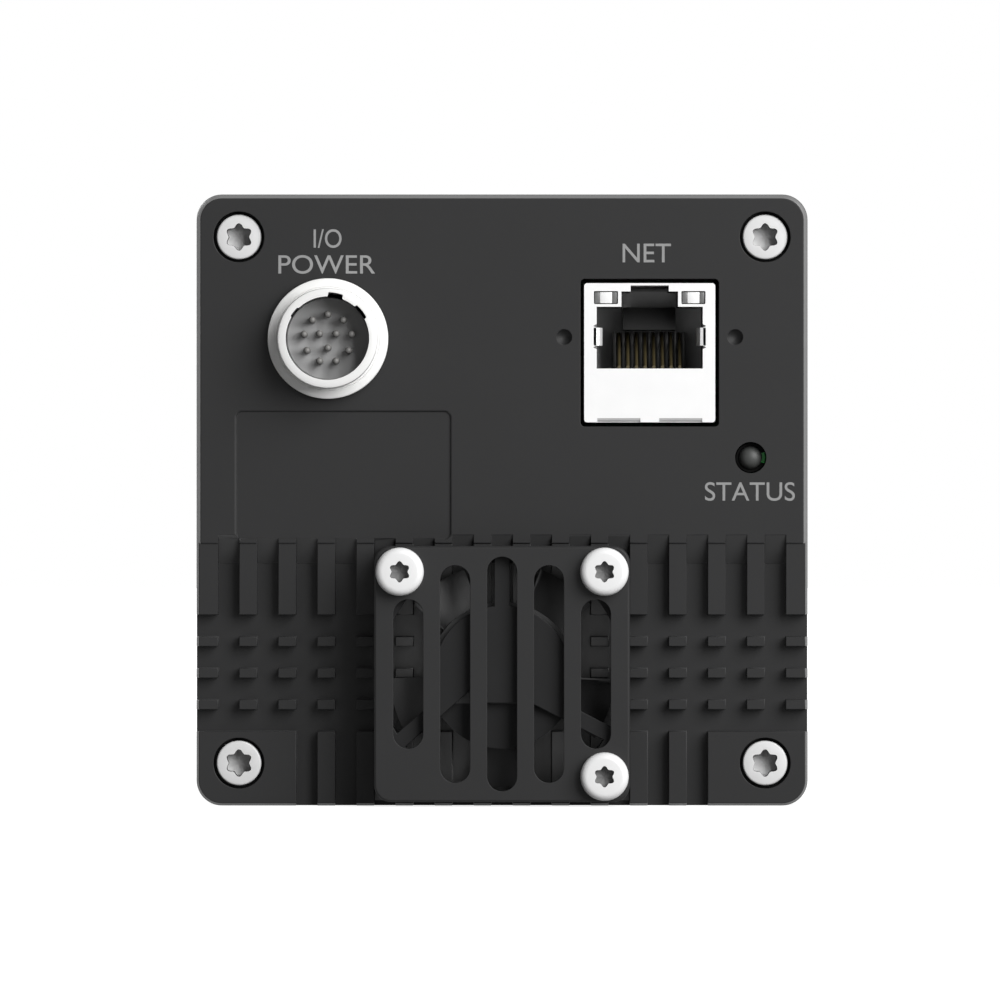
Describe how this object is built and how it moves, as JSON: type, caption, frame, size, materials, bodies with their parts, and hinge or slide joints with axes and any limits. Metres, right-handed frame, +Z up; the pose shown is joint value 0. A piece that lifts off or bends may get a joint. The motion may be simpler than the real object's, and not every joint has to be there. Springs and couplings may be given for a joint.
{
  "type": "machine vision camera",
  "caption": "Square machine vision camera with a threaded lens mount, rear connector panel, pin and fin heatsink, and a small fan under a slotted guard.",
  "frame": {"origin": "centre of the lens mount's flange face, on the optical axis", "axes": "+Y out of the lens mount along the optical axis, +Z up, connector panel faces -Y"},
  "size_m": [0.072, 0.0647, 0.072],
  "materials": {
    "housing_shell": "fine matt black anodising",
    "cover_block": "fine matt black anodising on milled aluminium",
    "guard_plate": "fine matt black anodising",
    "mount_ring": "turned, satin",
    "seal_rubber": "matt",
    "small_screws": "satin",
    "bright_screws": "bright zinc plate",
    "mask_black": "flat black",
    "ceramic": "matt ceramic",
    "sensor_silicon": "polished",
    "cover_glass": "clear",
    "board_laminate": "green solder mask",
    "fan_laminate": "black solder mask",
    "spacer_brass": "turned",
    "chip_plastic": "moulded",
    "connector_plastic": "moulded",
    "pad_silicone": "soft",
    "coil_ferrite": "sintered",
    "can_aluminium": "drawn",
    "receptacle_shell": "satin nickel plate",
    "insert_grey": "moulded",
    "pin_metal": "gold flash",
    "shield_steel": "tin plated",
    "jack_plastic": "moulded",
    "gold_contacts": "gold plated",
    "light_windows": "clear",
    "status_lens": "smoked",
    "fan_plastic": "moulded",
    "bearing_bronze": "sintered",
    "core_steel": "stamped",
    "coil_copper": "enamelled",
    "rotor_plastic": "moulded",
    "magnet_ferrite": "bonded",
    "shaft_steel": "ground"
  },
  "bodies": {
    "camera": {"housing": "housing_shell", "rear_cover": "cover_block", "lens_mount": "mount_ring", "lens_mount_seal": "seal_rubber", "lens_mount_screws": "small_screws", "sensor_mask": "mask_black", "sensor_package": "ceramic", "sensor_chip": "sensor_silicon", "sensor_glass": "cover_glass", "sensor_board": "board_laminate", "processor_board": "board_laminate", "interface_board": "board_laminate", "front_spacers": "spacer_brass", "rear_spacers": "spacer_brass", "board_screws": "small_screws", "processor": "chip_plastic", "memory_chips": "chip_plastic", "front_board_connectors": "connector_plastic", "rear_board_connector": "connector_plastic", "thermal_pad": "pad_silicone", "power_coils": "coil_ferrite", "capacitors": "can_aluminium", "net_transformer": "chip_plastic", "rear_gasket": "seal_rubber", "cover_screws": "bright_screws", "io_seal": "seal_rubber", "io_shell": "receptacle_shell", "io_nut": "receptacle_shell", "io_insert": "insert_grey", "io_pins": "pin_metal", "net_shield": "shield_steel", "net_insert": "jack_plastic", "net_contacts": "gold_contacts", "net_lights": "light_windows", "status_led": "light_windows", "status_light": "status_lens", "fan_frame": "fan_plastic", "fan_bearing": "bearing_bronze", "fan_board": "fan_laminate", "fan_core": "core_steel", "fan_coils": "coil_copper", "fan_guard": "guard_plate", "fan_screws": "bright_screws"},
    "rotor": {"fan_rotor": "rotor_plastic", "fan_shaft": "shaft_steel", "fan_magnet": "magnet_ferrite"}
  },
  "joints": [
    {"name": "fan_spin", "type": "hinge", "parent": "camera", "child": "rotor", "pos_m": [0, -0.0577, -0.0204], "axis": [0, -1, 0], "continuous": true}
  ]
}
